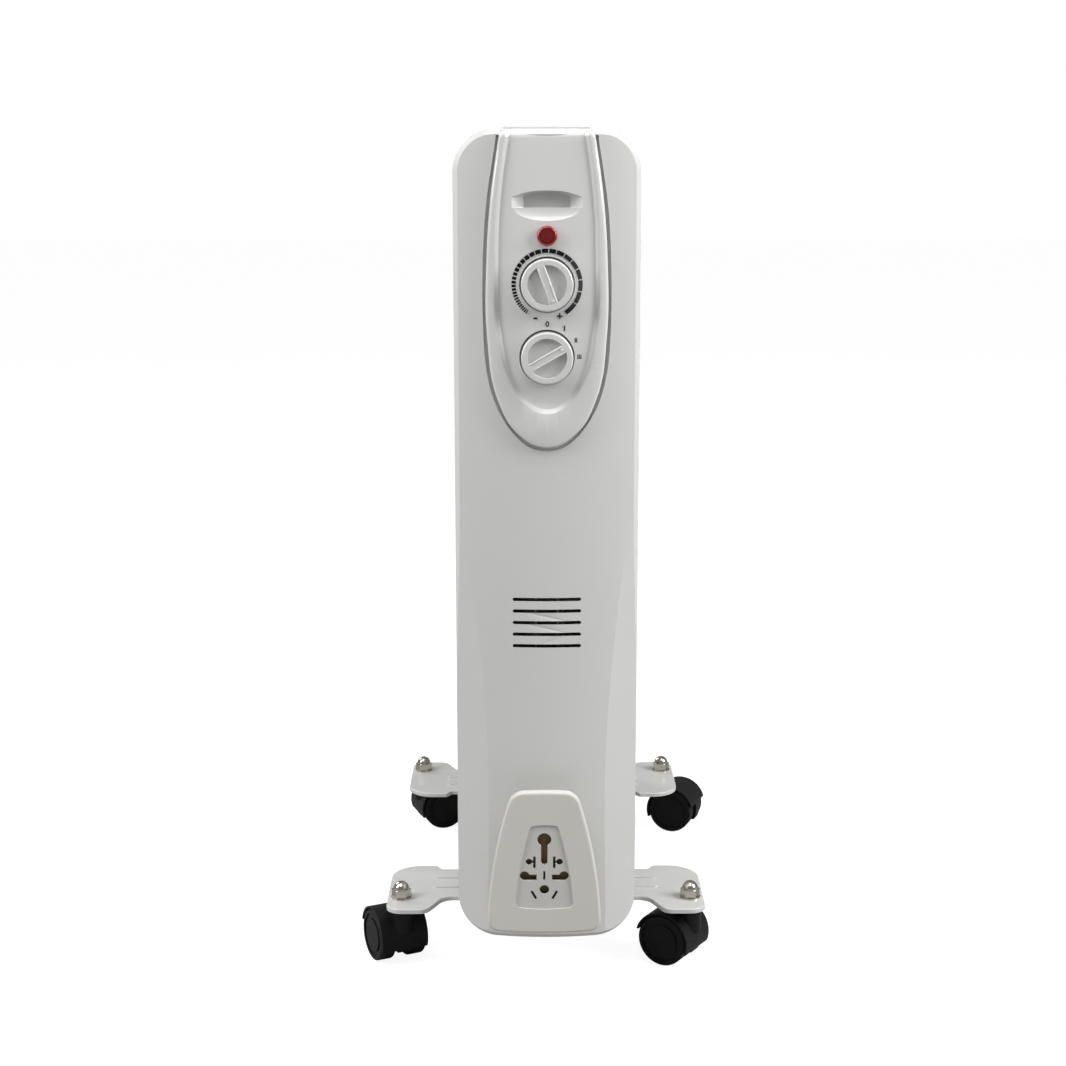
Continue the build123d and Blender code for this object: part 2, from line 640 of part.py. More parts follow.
with BuildPart() as fin_blank:
    with BuildSketch(Plane.XZ):
        with Locations((0, FIN_MID_Z)):
            RectangleRounded(FIN_WIDTH, FIN_HEIGHT, FIN_CORNER)
    extrude(amount=FIN_SHEET, both=True)
    with BuildSketch(Plane.XZ):
        with Locations((0, FIN_MID_Z)):
            RectangleRounded(FIN_WIDTH, FIN_HEIGHT, FIN_CORNER)
            RectangleRounded(FIN_WIDTH - 2 * HEM, FIN_HEIGHT - 2 * HEM, FIN_CORNER - HEM, mode=Mode.SUBTRACT)
    extrude(amount=HEM_HALF, both=True)
    with BuildSketch(Plane.XZ):
        add(ring_sketch(0))
    extrude(amount=CHANNEL_RISE, both=True)
    fillet(fin_blank.faces().sort_by(Axis.Y)[0].edges(), radius=PRESS_ROUND)
    fillet(fin_blank.faces().sort_by(Axis.Y)[-1].edges(), radius=PRESS_ROUND)

with BuildPart() as oil_cell:
    with BuildSketch(Plane.XZ):
        add(ring_sketch(FIN_SHEET))
    extrude(amount=CHANNEL_RISE - FIN_SHEET, both=True)
    fillet(oil_cell.faces().sort_by(Axis.Y)[0].edges(), radius=PRESS_ROUND - FIN_SHEET)
    fillet(oil_cell.faces().sort_by(Axis.Y)[-1].edges(), radius=PRESS_ROUND - FIN_SHEET)

BORE_R = NECK_R - FIN_SHEET
PLUG_R = 5.0
fin_places = [FIRST_FIN_Y + index * FIN_PITCH for index in range(FIN_COUNT)]
last_fin_rear = fin_places[-1] + CHANNEL_RISE

for index, y in enumerate(fin_places):
    is_first = index == 0
    is_last = index == FIN_COUNT - 1
    rear_end = y if is_last else y + FIN_PITCH / 2
    headers = [
        (UPPER_HEADER_Z, BACK_PLATE_REAR if is_first else y - FIN_PITCH / 2),
        (LOWER_HEADER_Z, HEADER_FRONT if is_first else y - FIN_PITCH / 2),
    ]
    with BuildPart() as fin:
        with Locations((0, y, 0)):
            add(fin_blank.part)
        for z, front_end in headers:
            rod(front_end, rear_end, 0, z, NECK_R)
        with Locations((0, y, 0)):
            add(oil_cell.part, mode=Mode.SUBTRACT)
        for z, front_end in headers:
            capped = is_first and z == UPPER_HEADER_Z
            bore_front = front_end + FIN_SHEET if capped else front_end - 1
            bore_rear = rear_end if is_last else rear_end + 1
            rod(bore_front, bore_rear, 0, z, BORE_R, Mode.SUBTRACT)
        if is_last:
            rod(y, last_fin_rear + 1, 0, UPPER_HEADER_Z, PLUG_R, Mode.SUBTRACT)
    finish(fin, f"fin_{index + 1}")

with BuildPart() as oil_plug:
    rod(last_fin_rear - FIN_SHEET, last_fin_rear, 0, UPPER_HEADER_Z, PLUG_R)
    with BuildSketch(front(last_fin_rear + 4)):
        with Locations((0, UPPER_HEADER_Z)):
            RegularPolygon(9, 6)
    extrude(amount=4)
finish(oil_plug, "oil_plug")

# --- Terminal block, thermal cut-out and wires inside the control box ---------------------------
BLOCK_Z = 150.0
BLOCK_FRONT = BACK_PLATE_FRONT - 12.0
with BuildPart() as terminal_block:
    with Locations((0, (BACK_PLATE_FRONT + BLOCK_FRONT) / 2, BLOCK_Z)):
        Box(34, 12, 14)
    with BuildSketch(Plane.XY.offset(BLOCK_Z + 7)):
        with Locations((0, BACK_PLATE_FRONT - 6)):
            with GridLocations(12, 0, 3, 1):
                Circle(2.2)
    extrude(amount=-4, mode=Mode.SUBTRACT)
finish(terminal_block, "terminal_block")

CUTOUT_Z = 220.0
with BuildPart() as thermal_cutout:
    rod(BACK_PLATE_FRONT - 7, BACK_PLATE_FRONT, -22, CUTOUT_Z, 8)
    for x in (-27, -17):
        with Locations((x, BACK_PLATE_FRONT - 10, CUTOUT_Z)):
            Box(0.8, 6, 4.8)
finish(thermal_cutout, "thermal_cutout")

with BuildPart() as cutout_clip:
    with Locations((-22, BACK_PLATE_FRONT - 1, CUTOUT_Z)):
        Box(30, 2, 5)
    rod(BACK_PLATE_FRONT - 3, BACK_PLATE_FRONT + 1, -22, CUTOUT_Z, 8, Mode.SUBTRACT)
finish(cutout_clip, "cutout_clip")

WIRE_R = 1.2
WIRE_BEND = 6.0
switch_under = SELECTOR_Z - SWITCH_HALF
block_top = BLOCK_Z + 3
pin_front = ELEMENT_FRONT - 6
wire_routes = []
for x in (-12, 12):
    wire_routes.append([
        (x, -172, block_top), (x, -172, 200), (x, -200, 232), (x, -200, 425),
        (x, -221, 446), (x, -221, switch_under),
    ])
for x in (-HAIRPIN_HALF, HAIRPIN_HALF):
    high = LOWER_HEADER_Z + HAIRPIN_RISE
    low = LOWER_HEADER_Z - HAIRPIN_RISE
    wire_routes.append([(x, pin_front, high), (x, -206, high), (x, -206, BLOCK_Z), (x, BLOCK_FRONT, BLOCK_Z)])
    wire_routes.append([(x, pin_front, low), (x, -216, low), (x, -216, switch_under)])

with BuildPart() as internal_wires:
    for route in wire_routes:
        with BuildLine() as path:
            FilletPolyline(*route, radius=WIRE_BEND)
        with BuildSketch(Plane(origin=route[0], z_dir=path.line % 0)):
            Circle(WIRE_R)
        sweep(path=path.line)
finish(internal_wires, "internal_wires")

# --- Feet -------------------------------------------------------------------------------------
# Pressed plates with a down-turned edge: an arm under the fins and an ear over each caster.
ARM_HALF = 30.0
EAR_X = 122.5
EAR_FRONT = -185.0
EAR_REAR = -91.0
CLAMP_X = NECK_R + 3.05  # legs of the U-bolt
BOLT_R = 3.0


def foot_sketch():
    """Plan of the front foot, drawn for the right side, mirrored and rounded at its corners."""
    with BuildSketch() as plan:
        with BuildLine():
            corners = Polyline(
                (0, -FOOT_Y - ARM_HALF), (79, -FOOT_Y - ARM_HALF), (91, EAR_FRONT), (EAR_X, EAR_FRONT),
                (EAR_X, EAR_REAR), (87, EAR_REAR), (83, -FOOT_Y + ARM_HALF - 1), (0, -FOOT_Y + ARM_HALF - 1),
            )
            mirror(corners, about=Plane.YZ)
        make_face()
        for x, y, radius in (
            (79, -FOOT_Y - ARM_HALF, 12), (91, EAR_FRONT, 9), (EAR_X, EAR_FRONT, 12),
            (EAR_X, EAR_REAR, 24), (87, EAR_REAR, 3), (83, -FOOT_Y + ARM_HALF - 1, 3),
        ):
            for side in (-1, 1):
                corner = plan.vertices().sort_by_distance((side * x, y))[0]
                fillet(corner, radius=radius)
    return plan.sketch


foot_plan = foot_sketch()
for name, turn in (("front_foot", 0), ("rear_foot", 180)):
    with BuildPart() as foot:
        with BuildSketch(Plane.XY.offset(PLATE_TOP)):
            with Locations(Location((0, 0), turn)):
                add(foot_plan)
        extrude(amount=-SKIRT)
        fillet(foot.faces().sort_by(Axis.Z)[-1].edges(), radius=1.0)
        with BuildSketch(Plane.XY.offset(PLATE_UNDER)):
            with Locations(Location((0, 0), turn)):
                add(foot_plan)
            offset(amount=-PLATE_SHEET)
        extrude(amount=-SKIRT, mode=Mode.SUBTRACT)
        middle = -FOOT_Y if turn == 0 else FOOT_Y
        # Two stiffening ribs under the arm and two beads pressed into its top on each side
        for across in (-1, 1):
            with Locations((0, middle + across * 20, PLATE_UNDER - 4)):
                Box(84, PLATE_SHEET, 8)
            for side in (-1, 1):
                with BuildSketch(Plane.XY.offset(PLATE_TOP)):
                    with Locations((side * 78, middle + across * 10)):
                        SlotOverall(20, 5)
                extrude(amount=1.0)
        with BuildSketch(Plane.XY.offset(PLATE_TOP + 5)):
            with Locations((-CLAMP_X, middle), (CLAMP_X, middle)):
                Circle(BOLT_R + 0.3)
            with Locations((-STEM_X, middle + middle / FOOT_Y * (STEM_Y - FOOT_Y)),
                           (STEM_X, middle + middle / FOOT_Y * (STEM_Y - FOOT_Y))):
                Circle(STEM_R + 0.2)
        extrude(amount=-20, mode=Mode.SUBTRACT)
    finish(foot, name)

# --- U-bolts over the lower necks, and their wing nuts -----------------------------------------
for name, y in (("front_u_bolt", -FOOT_Y), ("rear_u_bolt", FOOT_Y)):
    with BuildPart() as u_bolt:
        with BuildLine(front(y)) as bow:
            Line((-CLAMP_X, 36), (-CLAMP_X, LOWER_HEADER_Z))
            ThreePointArc((-CLAMP_X, LOWER_HEADER_Z), (0, LOWER_HEADER_Z + CLAMP_X), (CLAMP_X, LOWER_HEADER_Z))
            Line((CLAMP_X, LOWER_HEADER_Z), (CLAMP_X, 36))
        with BuildSketch(Plane.XY.offset(36)):
            with Locations((-CLAMP_X, y)):
                Circle(BOLT_R)
        sweep(path=bow.line)
    finish(u_bolt, name)

with BuildPart() as wing_nuts:
    for y in (-FOOT_Y, FOOT_Y):
        for side in (-1, 1):
            with BuildSketch(Plane.XY.offset(PLATE_UNDER)):
                with Locations((side * CLAMP_X, y)):
                    Circle(5.5)
                    with GridLocations(0, 15, 1, 2):
                        Rectangle(2, 9)
            extrude(amount=-7)
    with BuildSketch(Plane.XY.offset(PLATE_UNDER + 1)):
        with GridLocations(2 * CLAMP_X, 2 * FOOT_Y, 2, 2):
            Circle(BOLT_R)
    extrude(amount=-10, mode=Mode.SUBTRACT)
finish(wing_nuts, "wing_nuts")

# --- Caster stems and dome nuts -----------------------------------------------------------------
STEM_LOW = 18.0
COLLAR = 3.0
NUT_HOLE_TOP = PLATE_TOP + 8
with BuildPart() as caster_stems:
    with BuildSketch(Plane.XY.offset(STEM_LOW)):
        with GridLocations(2 * STEM_X, 2 * STEM_Y, 2, 2):
            Circle(STEM_R)
    extrude(amount=NUT_HOLE_TOP - STEM_LOW)
    with BuildSketch(Plane.XY.offset(PLATE_UNDER)):
        with GridLocations(2 * STEM_X, 2 * STEM_Y, 2, 2):
            Circle(6.5)
    extrude(amount=-COLLAR)
finish(caster_stems, "caster_stems")

with BuildPart() as dome_nuts:
    with BuildSketch(Plane.XY.offset(PLATE_TOP)):
        with GridLocations(2 * STEM_X, 2 * STEM_Y, 2, 2):
            Circle(8)
    extrude(amount=1.2)
    with BuildSketch(Plane.XY.offset(PLATE_TOP + 1.2)):
        with GridLocations(2 * STEM_X, 2 * STEM_Y, 2, 2):
            RegularPolygon(7.5, 6)
    extrude(amount=6.0)
    with GridLocations(2 * STEM_X, 2 * STEM_Y, 2, 2):
        with Locations((0, 0, PLATE_TOP + 7.2)):
            Sphere(6.2)
    with BuildSketch(Plane.XY.offset(PLATE_TOP - 1)):
        with GridLocations(2 * STEM_X, 2 * STEM_Y, 2, 2):
            Circle(STEM_R)
    extrude(amount=9, mode=Mode.SUBTRACT)
finish(dome_nuts, "dome_nuts")

# --- Casters ------------------------------------------------------------------------------------
# Drawn with the stem at the origin and the wheels trailing along +X, then placed at each stem.
SOCKET_TOP = PLATE_UNDER - COLLAR - 0.3
SOCKET_R = 9.0
HOOD_START = 16.0  # trailing edge of the hood, above the level of the axle
HOOD_END = 200.0

with BuildPart() as hood_master:
    # Socket for the stem, hollowed where the wheels turn
    with BuildSketch(Plane.XY.offset(SOCKET_TOP)):
        Circle(SOCKET_R)
    extrude(amount=-22)
    with BuildSketch(Plane.XZ):
        with Locations((TRAIL, WHEEL_R)):
            Circle(HOOD_R - HOOD_SHEET)
    extrude(amount=WHEEL_OUTER, both=True, mode=Mode.SUBTRACT)
    # Curved hood over both wheels
    with BuildSketch(Plane.XZ):
        with BuildLine():
            hood_out = CenterArc((TRAIL, WHEEL_R), HOOD_R, HOOD_START, HOOD_END - HOOD_START)
            hood_in = CenterArc((TRAIL, WHEEL_R), HOOD_R - HOOD_SHEET, HOOD_START, HOOD_END - HOOD_START)
            Line(hood_out @ 0, hood_in @ 0)
            Line(hood_out @ 1, hood_in @ 1)
        make_face()
    extrude(amount=WHEEL_OUTER, both=True)
    # Web between the wheels
    with BuildSketch(Plane.XZ):
        with Locations((TRAIL, WHEEL_R)):
            Circle(HOOD_R - 0.5)
            with Locations((0, -WHEEL_R)):
                Rectangle(60, 20, mode=Mode.SUBTRACT)
    extrude(amount=WEB_HALF, both=True)
    with BuildSketch(Plane.XZ):
        with Locations((TRAIL, WHEEL_R)):
            Circle(AXLE_R)
    extrude(amount=WHEEL_OUTER, both=True, mode=Mode.SUBTRACT)
    with BuildSketch(Plane.XY.offset(STEM_LOW - 1)):
        Circle(STEM_R + RUNNING_GAP)
    extrude(amount=40, mode=Mode.SUBTRACT)

AXLE_HALF = 16.5
with BuildPart() as axle_master:
    with BuildSketch(Plane.XZ):
        with Locations((TRAIL, WHEEL_R)):
            Circle(AXLE_R)
    extrude(amount=AXLE_HALF, both=True)

with BuildPart() as wheel_master:
    with BuildSketch(Plane.XZ.offset(-WHEEL_OUTER)):
        with Locations((TRAIL, WHEEL_R)):
            Circle(WHEEL_R)
    extrude(amount=WHEEL_OUTER - WHEEL_INNER)
    fillet(wheel_master.edges().filter_by(GeomType.CIRCLE), radius=1.5)
    # Shallow ring between the tread and the hub cap
    with BuildSketch(Plane.XZ.offset(-WHEEL_OUTER)):
        with Locations((TRAIL, WHEEL_R)):
            Circle(16.5)
            Circle(13.0, mode=Mode.SUBTRACT)
    extrude(amount=1.0, mode=Mode.SUBTRACT)
    with BuildSketch(Plane.XZ.offset(-AXLE_HALF - 0.3)):
        with Locations((TRAIL, WHEEL_R)):
            Circle(AXLE_R + RUNNING_GAP)
    extrude(amount=20, mode=Mode.SUBTRACT)

CASTERS = [  # name, side, end, direction that the wheels trail in
    ("front_left", -1, -1, 116.0),
    ("front_right", 1, -1, 148.0),
    ("rear_left", -1, 1, 20.0),
    ("rear_right", 1, 1, -22.0),
]
for name, side, end, trail_angle in CASTERS:
    stand = Location((side * STEM_X, end * STEM_Y, 0), trail_angle)
    with BuildPart() as hood:
        with Locations(stand):
            add(hood_master.part)
    finish(hood, f"caster_hood_{name}")
    with BuildPart() as axle:
        with Locations(stand):
            add(axle_master.part)
    finish(axle, f"caster_axle_{name}")
    for letter, wheel_part in (("a", wheel_master.part), ("b", wheel_master.part.mirror(Plane.XZ))):
        with BuildPart() as wheel:
            with Locations(stand):
                add(wheel_part)
        finish(wheel, f"wheel_{name}_{letter}")
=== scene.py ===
"""Looks of the oil filled radiator heater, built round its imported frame.

Metres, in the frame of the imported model: X right, Y from the front to the back, Z up, floor at zero.
Numbers that are multiplied by MM, and those handed to moved() and sized(), are millimetres.
"""
from math import atan2, degrees, pi, radians

import bmesh
import bpy
from mathutils import Matrix, Vector


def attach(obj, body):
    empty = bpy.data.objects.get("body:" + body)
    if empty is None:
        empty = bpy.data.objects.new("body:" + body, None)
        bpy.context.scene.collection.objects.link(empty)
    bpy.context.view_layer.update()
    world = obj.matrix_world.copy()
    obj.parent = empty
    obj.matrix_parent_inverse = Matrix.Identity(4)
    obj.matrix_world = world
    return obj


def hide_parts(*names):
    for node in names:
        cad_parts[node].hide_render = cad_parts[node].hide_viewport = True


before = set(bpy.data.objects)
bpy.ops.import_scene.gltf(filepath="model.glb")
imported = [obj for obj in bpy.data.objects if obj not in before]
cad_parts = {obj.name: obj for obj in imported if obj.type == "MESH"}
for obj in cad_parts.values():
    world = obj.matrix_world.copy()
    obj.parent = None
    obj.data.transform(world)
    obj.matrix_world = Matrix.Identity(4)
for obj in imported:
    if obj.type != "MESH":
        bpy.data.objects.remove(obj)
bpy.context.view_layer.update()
MM = 0.001

# --- Camera, floor and studio light -------------------------------------------------------------
# A long lens a little above the heater looks slightly down on its front. The floor is a plain pale
# sweep. The light is a pale room with five softboxes: above, in front, at both sides and behind.
CAMERA_PLACE = Vector((-0.0133, -1.5275, 0.5953))
CAMERA_LENS = 62.84
CAMERA_DOWN = 10.56
CAMERA_TURN = 0.155
CAMERA_ROLL = -0.05
ROOM_LIGHT = 0.26
FLOOR_GLOW = 0.9
FLOOR_GREY = 0.33
FLOOR_DROP = 0.0005  # keeps the floor just clear of the wheels
WHITE = (1.0, 1.0, 1.0, 1)
LAMP_AIM = Vector((0, -0.1, 0.35))
LAMPS = (  # name, place, width and height, watts
    ("top_lamp", (0.0, -0.4, 2.3), (1.4, 1.0), 11.0),
    ("front_lamp", (-0.3, -1.3, 1.9), (1.2, 0.5), 5.5),
    ("left_lamp", (-1.3, -0.62, 1.25), (0.5, 1.3), 22.0),
    ("right_lamp", (1.4, -0.62, 1.25), (0.7, 1.3), 36.0),
    ("rear_lamp", (-1.7, 1.5, 1.6), (0.8, 1.2), 18.0),
)

bpy.ops.object.camera_add()
camera = bpy.context.object
camera.data.lens = CAMERA_LENS
camera.matrix_world = (
    Matrix.Translation(CAMERA_PLACE)
    @ Matrix.Rotation(radians(-CAMERA_TURN), 4, "Z")
    @ Matrix.Rotation(radians(90 - CAMERA_DOWN), 4, "X")
    @ Matrix.Rotation(radians(CAMERA_ROLL), 4, "Z")
)
bpy.context.scene.camera = camera
bpy.context.scene.view_settings.view_transform = "Standard"


def backdrop_strength(tree, lighting, seen):
    """A strength that lights the heater with one value, while the camera sees the other."""
    path = tree.nodes.new("ShaderNodeLightPath")
    choice = tree.nodes.new("ShaderNodeMix")
    choice.data_type = "FLOAT"
    choice.inputs["A"].default_value = lighting
    choice.inputs["B"].default_value = seen
    tree.links.new(path.outputs["Is Camera Ray"], choice.inputs["Factor"])
    return choice.outputs["Result"]


room = bpy.data.worlds.new("room")
room.use_nodes = True
air = room.node_tree
air.links.new(backdrop_strength(air, ROOM_LIGHT, 1.0), air.nodes["Background"].inputs["Strength"])
air.nodes["Background"].inputs["Color"].default_value = WHITE
bpy.context.scene.world = room

for name, spot, size, watts in LAMPS:
    bpy.ops.object.light_add(type="AREA", location=spot)
    lamp = bpy.context.object
    lamp.name = name
    lamp.data.shape = "RECTANGLE"
    lamp.data.size, lamp.data.size_y = size
    lamp.data.energy = watts
    lamp.rotation_euler = (LAMP_AIM - Vector(spot)).to_track_quat("-Z", "Y").to_euler()

bpy.ops.mesh.primitive_plane_add(size=40, location=(0, 0, -FLOOR_DROP))
floor = bpy.context.object
floor.name = "studio_floor"
pale = bpy.data.materials.new("studio_white")
pale.use_nodes = True
sweep = pale.node_tree.nodes["Principled BSDF"]
sweep.inputs["Base Color"].default_value = (FLOOR_GREY, FLOOR_GREY, FLOOR_GREY, 1)
sweep.inputs["Roughness"].default_value = 0.95
sweep.inputs["Specular IOR Level"].default_value = 0.0
sweep.inputs["Emission Color"].default_value = WHITE
pale.node_tree.links.new(
    backdrop_strength(pale.node_tree, 0.0, FLOOR_GLOW), sweep.inputs["Emission Strength"]
)
floor.data.materials.append(pale)


# --- Front cover ----------------------------------------------------------------------------------
# One deep-drawn pan of steel sheet with a crowned face, sprayed with light grey-white semi-gloss
# enamel. The spray leaves a faint orange peel, and the film is a touch duller where it is thin.
class Value:
    """One output of a shader node. Arithmetic on it adds Math nodes."""

    def __init__(self, tree, output):
        self.tree = tree
        self.output = output

    def node(self, kind, settings, inputs, out=0):
        """Add a node: its settings first, then the values or links of its inputs."""
        made = self.tree.nodes.new(kind)
        for name, setting in settings.items():
            setattr(made, name, setting)
        for name, given in inputs.items():
            if isinstance(given, Value):
                self.tree.links.new(given.output, made.inputs[name])
            else:
                made.inputs[name].default_value = given
        return Value(self.tree, made.outputs[out])

    def math(self, operation, *given):
        return self.node("ShaderNodeMath", {"operation": operation}, dict(enumerate(given)))

    def __add__(self, other):
        return self.math("ADD", self, other)

    __radd__ = __add__

    def __sub__(self, other):
        return self.math("SUBTRACT", self, other)

    def __rsub__(self, other):
        return self.math("SUBTRACT", other, self)

    def __mul__(self, other):
        return self.math("MULTIPLY", self, other)

    __rmul__ = __mul__

    def __lt__(self, other):
        return self.math("LESS_THAN", self, other)

    def noise(self, scale, detail=2.0):
        """Even noise about a half, at this many waves per metre."""
        return self.node("ShaderNodeTexNoise", {}, {"Vector": self, "Scale": scale, "Detail": detail})

    def mixed(self, first, second):
        """Mix two colours by this value. A colour is a value or three numbers."""
        ends = [colour if isinstance(colour, Value) else (*colour, 1) for colour in (first, second)]
        return self.node("ShaderNodeMix", {"data_type": "RGBA"}, {0: self, 6: ends[0], 7: ends[1]}, out=2)

    def bump(self, strength, distance):
        """Normal of a surface with this height."""
        return self.node("ShaderNodeBump", {}, {"Height": self, "Strength": strength, "Distance": distance})


def new_finish(name, **fixed):
    """A material with its constants set. Returns it and its Object coordinates."""
    material = bpy.data.materials.new(name)
    material.use_nodes = True
    shader = material.node_tree.nodes["Principled BSDF"]
    for socket, number in fixed.items():
        shader.inputs[socket.replace("_", " ")].default_value = number
    made = material.node_tree.nodes.new("ShaderNodeTexCoord")
    return material, Value(material.node_tree, made.outputs["Object"])


def feed(material, **varying):
    """Link values that change over the surface to the material's shader."""
    shader = material.node_tree.nodes["Principled BSDF"]
    for socket, value in varying.items():
        material.node_tree.links.new(value.output, shader.inputs[socket.replace("_", " ")])


def take_up(*pieces):
    """Select these pieces and nothing else, with the first one active."""
    bpy.ops.object.select_all(action="DESELECT")
    for piece in pieces:
        piece.select_set(True)
    bpy.context.view_layer.objects.active = pieces[0]


def weigh(piece, crease):
    """Smooth shading that keeps flat faces flat, with creases above this angle left sharp."""
    bpy.ops.object.shade_smooth_by_angle(angle=radians(crease))
    flat = piece.modifiers.new("flat", "WEIGHTED_NORMAL")
    flat.keep_sharp = True
    bpy.ops.object.modifier_apply(modifier=flat.name)


MERGE_WITHIN = 0.002
LEVEL_WITHIN = 0.4  # degrees between faces that count as one flat face


def eased(node, width, material, rides="root", segments=2, crease=38):
    """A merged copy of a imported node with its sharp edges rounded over, shown in the node's place."""
    piece = bpy.data.objects.new(f"{node}_eased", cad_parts[node].data.copy())
    bpy.context.collection.objects.link(piece)
    take_up(piece)
    bpy.ops.object.mode_set(mode="EDIT")
    bpy.ops.mesh.select_all(action="SELECT")
    bpy.ops.mesh.customdata_custom_splitnormals_clear()
    bpy.ops.mesh.remove_doubles(threshold=MERGE_WITHIN * MM)
    bpy.ops.mesh.dissolve_limited(angle_limit=radians(LEVEL_WITHIN))
    bpy.ops.object.mode_set(mode="OBJECT")
    rounding = piece.modifiers.new("rounding", "BEVEL")
    rounding.width = width * MM
    rounding.segments = segments
    rounding.limit_method = "ANGLE"
    rounding.angle_limit = radians(crease)
    bpy.ops.object.modifier_apply(modifier=rounding.name)
    weigh(piece, crease + 2)
    piece.data.materials.clear()
    piece.data.materials.append(material)
    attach(piece, rides)
    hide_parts(node)
    return piece


def slice_across(axis, stations):
    """Cut the piece in edit mode by planes across an axis, at these places along it."""
    for station in stations:
        bpy.ops.mesh.select_all(action="SELECT")
        bpy.ops.mesh.bisect(plane_co=[part * station * MM for part in axis], plane_no=axis)


FACE_CENTRE = -50
FACE_RADIUS = 190
FACE_TOLERANCE = 0.12
COVER_HALF = 60
COVER_STRIP = 3
COVER_CREASE = 8


def face_depth(x, rise):
    """Depth of the crowned front, in millimetres, this far out from the cover's face."""
    return FACE_CENTRE - (FACE_RADIUS**2 - x * x) ** 0.5 - rise


enamel, place = new_finish("grey_white_enamel", Coat_Weight=0.3, Coat_Roughness=0.16, IOR=1.5)
feed(
    enamel,
    Base_Color=place.noise(9, 3.0).mixed((0.575, 0.575, 0.56), (0.615, 0.615, 0.60)),
    Roughness=0.30 + 0.06 * place.noise(60, 2.0),
    Normal=place.noise(260, 0.0).bump(0.03, 0.0002),
)
cover = eased("front_cover", 0.8, enamel, segments=3, crease=COVER_CREASE)
# the crowned face is cut into narrow upright strips that follow the true crown
bpy.ops.object.mode_set(mode="EDIT")
slice_across((1, 0, 0), range(-COVER_HALF, COVER_HALF + 1, COVER_STRIP))
bpy.ops.object.mode_set(mode="OBJECT")
for corner in cover.data.vertices:
    crown = face_depth(corner.co.x / MM, 0) * MM
    if abs(corner.co.y - crown) < FACE_TOLERANCE * MM:
        corner.co.y = crown
weigh(cover, COVER_CREASE + 2)


# --- Back plate and fins ----------------------------------------------------------------------------
# The control box is closed at the back by a flat steel plate. Each fin is two pressed sheets of
# steel, welded round the edge and at the necks, and sprayed with the same enamel.
def dress(nodes, material):
    """Give carried-over nodes this material."""
    for node in nodes:
        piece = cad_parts[node]
        piece.data.materials.clear()
        piece.data.materials.append(material)


dress(["back_plate"] + [f"fin_{number}" for number in range(1, 10)], enamel)

# --- Feet -------------------------------------------------------------------------------------------
# Two pressed steel plates with a down-turned edge, enamelled like the cover. Each is pulled up
# under a gap between two fins by a U-bolt, and carries a caster at each end.
for foot in ("front_foot", "rear_foot"):
    eased(foot, 0.3, enamel)


# --- Control panel ----------------------------------------------------------------------------------
# One glossy white moulding, clipped into the pocket of the cover. A crowned rim runs round a lower
# field, which has a finger pull, a hole for the pilot lens and two round holes for the knobs.
def ring(side, foot, inward=0.0):
    """Points round a shield: down its right side, round its foot and up its left, moved in a little."""
    right = [Vector((x, 0, z)) for x, z in side] + [Vector((0, 0, foot))]
    points = right + [Vector((-p.x, 0, p.z)) for p in reversed(right[:-1])]
    moved_in = []
    for number, point in enumerate(points):
        before = points[max(number - 1, 0)]
        after = points[min(number + 1, len(points) - 1)]
        along = (after - before).normalized()
        moved_in.append(point + inward * Vector((along.z, 0, -along.x)))
    return moved_in


def loop_mesh(points, depth, corners=()):
    """A closed wire through these points, smooth but for its corners. Its depth may be a function of x."""
    drawn = bpy.data.curves.new("loop", "CURVE")
    drawn.dimensions = "3D"
    drawn.resolution_u = 8
    line = drawn.splines.new("BEZIER")
    line.bezier_points.add(len(points) - 1)
    line.use_cyclic_u = True
    for number, (knot, point) in enumerate(zip(line.bezier_points, points)):
        knot.co = point
        knot.handle_left_type = knot.handle_right_type = "VECTOR" if number in corners else "AUTO"
    loop = bpy.data.objects.new("loop", drawn)
    bpy.context.collection.objects.link(loop)
    take_up(loop)
    bpy.ops.object.convert(target="MESH")
    loop = bpy.context.object
    for corner in loop.data.vertices:
        corner.co.y = depth(corner.co.x) if callable(depth) else depth
        corner.co *= MM
    return loop


def pick(piece, chosen):
    """Select the vertices whose number is chosen, in edit mode."""
    shell = bmesh.from_edit_mesh(piece.data)
    shell.verts.ensure_lookup_table()
    for corner in shell.verts:
        corner.select = chosen(corner.index)
    shell.select_flush_mode()
    bmesh.update_edit_mesh(piece.data)


def bridged(name, loops):
    """A closed skin over these loops, from the first to the last, with a cap at each end."""
    size = len(loops[0].data.vertices)
    take_up(*loops)
    bpy.ops.object.join()
    skin = bpy.context.object
    skin.name = name
    last = len(loops) - 1
    bpy.ops.object.mode_set(mode="EDIT")
    bpy.ops.mesh.select_mode(type="VERT")
    for number in range(last):
        bpy.ops.mesh.select_all(action="DESELECT")
        pick(skin, lambda at: number * size <= at < (number + 2) * size)
        bpy.ops.mesh.bridge_edge_loops()
    for number in (0, last):
        bpy.ops.mesh.select_all(action="DESELECT")
        pick(skin, lambda at: number * size <= at < (number + 1) * size)
        bpy.ops.mesh.edge_face_add()
    bpy.ops.mesh.select_all(action="SELECT")
    bpy.ops.mesh.normals_make_consistent(inside=False)
    bpy.ops.object.mode_set(mode="OBJECT")
    return skin


def cut(piece, tool):
    """Take a closed tool out of a piece, and throw the tool away."""
    take_up(piece)
    hollow = piece.modifiers.new("hollow", "BOOLEAN")
    hollow.operation = "DIFFERENCE"
    hollow.solver = "EXACT"
    hollow.object = tool
    bpy.ops.object.modifier_apply(modifier=hollow.name)
    bpy.data.objects.remove(tool)


def moved(x, y, z):
    """A shift by millimetres."""
    return Matrix.Translation((x * MM, y * MM, z * MM))


def sized(x, y, z):
    """A stretch of a unit primitive to millimetres."""
    return Matrix.Diagonal((x * MM, y * MM, z * MM, 1))


